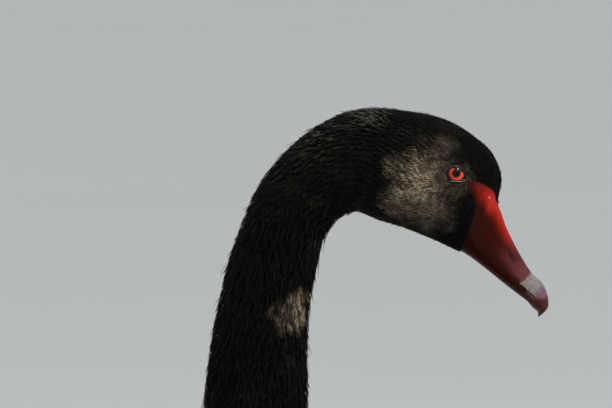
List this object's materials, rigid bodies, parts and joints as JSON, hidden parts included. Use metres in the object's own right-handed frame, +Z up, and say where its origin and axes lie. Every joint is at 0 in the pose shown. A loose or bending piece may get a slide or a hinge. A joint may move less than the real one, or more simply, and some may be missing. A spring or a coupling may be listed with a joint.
{
  "type": "black swan, still life-size model",
  "caption": "Still life-size black swan resting on its belly, with an S-curved neck, red bill, folded wings and a fanned tail.",
  "frame": {"origin": "on the floor, midway between the bill's tip and the tail's tip, on the bird's middle plane", "axes": "+X forward towards the bill, +Y to the bird's left, +Z up"},
  "size_m": [0.7082, 0.2542, 0.6004],
  "materials": {
    "black_plumage": "sooty black feathers with a soft sheen",
    "white_feather": "white flight feathers",
    "bill_red": "smooth crimson bill with a pale band near its tip",
    "lower_bill_red": "smooth dark crimson lower bill",
    "eye_red": "glossy scarlet iris with a black pupil",
    "leg_grey": "leathery dark grey skin with fine scutes"
  },
  "bodies": {
    "root": {"head": "black_plumage", "neck_upper": "black_plumage", "neck_middle": "black_plumage", "neck_lower": "black_plumage", "torso": "black_plumage", "wing_left": "black_plumage", "wing_right": "black_plumage", "tail": "black_plumage", "bill_upper": "bill_red", "bill_lower": "lower_bill_red", "eye_left": "eye_red", "eye_right": "eye_red", "leg_left": "leg_grey", "leg_right": "leg_grey", "foot_left": "leg_grey", "foot_right": "leg_grey"}
  },
  "joints": []
}
